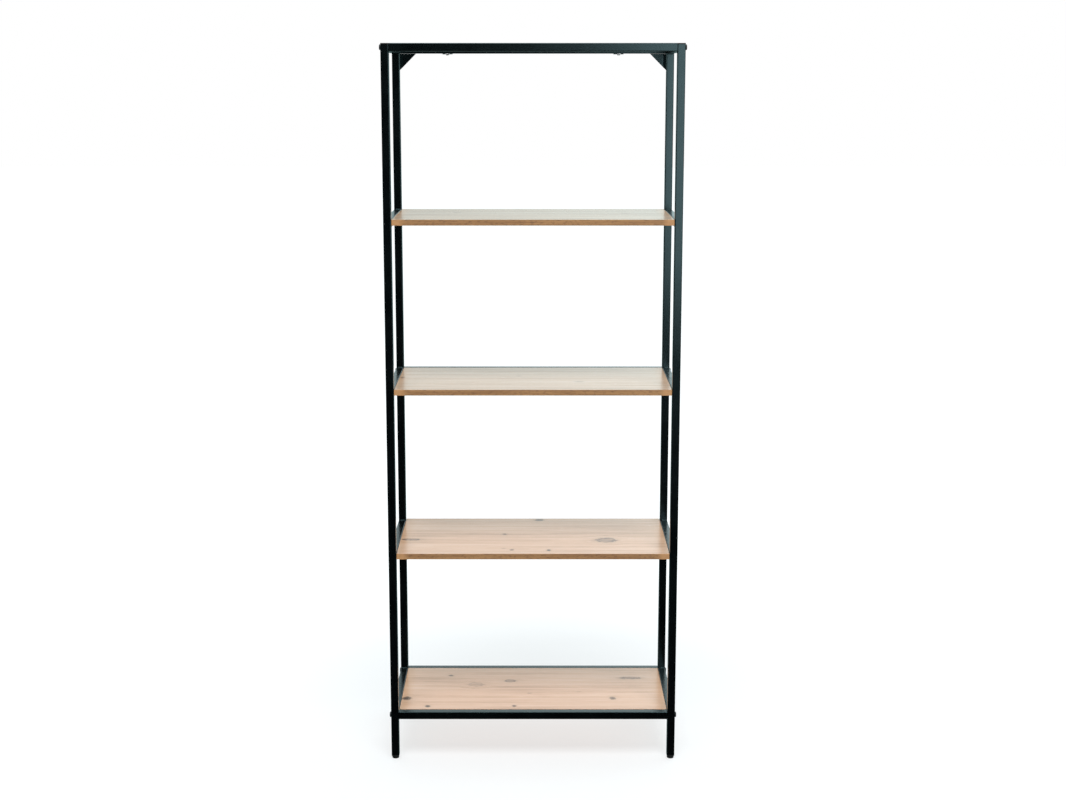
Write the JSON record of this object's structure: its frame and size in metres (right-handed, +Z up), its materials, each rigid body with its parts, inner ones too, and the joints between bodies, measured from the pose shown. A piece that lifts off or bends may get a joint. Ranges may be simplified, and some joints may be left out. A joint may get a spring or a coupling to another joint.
{
  "type": "open metal-frame bookcase",
  "caption": "Tall open bookcase with a black square-tube frame, light oak-decor shelf boards set between the side rails, some of them removable, and levelling feet.",
  "frame": {"origin": "on the floor, in the middle of the overall width and depth", "axes": "+Z up; +Y from the open front towards the wall side; +X to the right of somebody who stands in front of it"},
  "size_m": [0.7524, 0.352, 1.85],
  "materials": {
    "frame_powder_coat": "satin black powder coat with a faint fine texture",
    "oak_board": "light knotty oak decor on all faces, grain along X, silk-matt",
    "black_bolt": "black-coated steel, satin",
    "zinc_steel": "bright zinc-plated steel",
    "black_plastic": "moulded black plastic, matt"
  },
  "bodies": {
    "frame": {"post_front_left": "frame_powder_coat", "cap_front_left": "black_plastic", "foot_plug_front_left": "black_plastic", "post_back_left": "frame_powder_coat", "cap_back_left": "black_plastic", "foot_plug_back_left": "black_plastic", "side_rail_left_bottom": "frame_powder_coat", "side_rail_left_lower": "frame_powder_coat", "side_rail_left_middle": "frame_powder_coat", "side_rail_left_upper": "frame_powder_coat", "side_rail_left_top": "frame_powder_coat", "gusset_left": "frame_powder_coat", "wall_bracket_left": "zinc_steel", "bracket_screw_left": "zinc_steel", "post_front_right": "frame_powder_coat", "cap_front_right": "black_plastic", "foot_plug_front_right": "black_plastic", "post_back_right": "frame_powder_coat", "cap_back_right": "black_plastic", "foot_plug_back_right": "black_plastic", "side_rail_right_bottom": "frame_powder_coat", "side_rail_right_lower": "frame_powder_coat", "side_rail_right_middle": "frame_powder_coat", "side_rail_right_upper": "frame_powder_coat", "side_rail_right_top": "frame_powder_coat", "gusset_right": "frame_powder_coat", "wall_bracket_right": "zinc_steel", "bracket_screw_right": "zinc_steel", "cross_rail_front_bottom": "frame_powder_coat", "bolt_front_bottom_left": "black_bolt", "bolt_front_bottom_right": "black_bolt", "cross_rail_front_top": "frame_powder_coat", "bolt_front_top_left": "black_bolt", "bolt_front_top_right": "black_bolt", "cross_rail_back_bottom": "frame_powder_coat", "bolt_back_bottom_left": "black_bolt", "bolt_back_bottom_right": "black_bolt", "cross_rail_back_middle": "frame_powder_coat", "bolt_back_middle_left": "black_bolt", "bolt_back_middle_right": "black_bolt", "cross_rail_back_top": "frame_powder_coat", "bolt_back_top_left": "black_bolt", "bolt_back_top_right": "black_bolt", "board_bottom": "oak_board", "board_middle": "oak_board", "screw_bottom_front_left": "zinc_steel", "screw_bottom_front_right": "zinc_steel", "screw_bottom_back_left": "zinc_steel", "screw_bottom_back_right": "zinc_steel", "screw_middle_front_left": "zinc_steel", "screw_middle_front_right": "zinc_steel", "screw_middle_back_left": "zinc_steel", "screw_middle_back_right": "zinc_steel"},
    "loose_shelf_upper": {"board_upper": "oak_board"},
    "loose_shelf_lower": {"board_lower": "oak_board"},
    "foot_front_left": {"levelling_foot_front_left": "black_plastic"},
    "foot_front_right": {"levelling_foot_front_right": "black_plastic"},
    "foot_back_left": {"levelling_foot_back_left": "black_plastic"},
    "foot_back_right": {"levelling_foot_back_right": "black_plastic"}
  },
  "joints": [
    {"name": "shelf_upper_pull_out", "type": "slide", "parent": "frame", "child": "loose_shelf_upper", "axis": [0, -1, 0], "range_m": [0, 0.4]},
    {"name": "shelf_lower_pull_out", "type": "slide", "parent": "frame", "child": "loose_shelf_lower", "axis": [0, -1, 0], "range_m": [0, 0.4]},
    {"name": "foot_front_left_level", "type": "slide", "parent": "frame", "child": "foot_front_left", "axis": [0, 0, -1], "range_m": [0, 0.01]},
    {"name": "foot_front_right_level", "type": "slide", "parent": "frame", "child": "foot_front_right", "axis": [0, 0, -1], "range_m": [0, 0.01]},
    {"name": "foot_back_left_level", "type": "slide", "parent": "frame", "child": "foot_back_left", "axis": [0, 0, -1], "range_m": [0, 0.01]},
    {"name": "foot_back_right_level", "type": "slide", "parent": "frame", "child": "foot_back_right", "axis": [0, 0, -1], "range_m": [0, 0.01]}
  ]
}
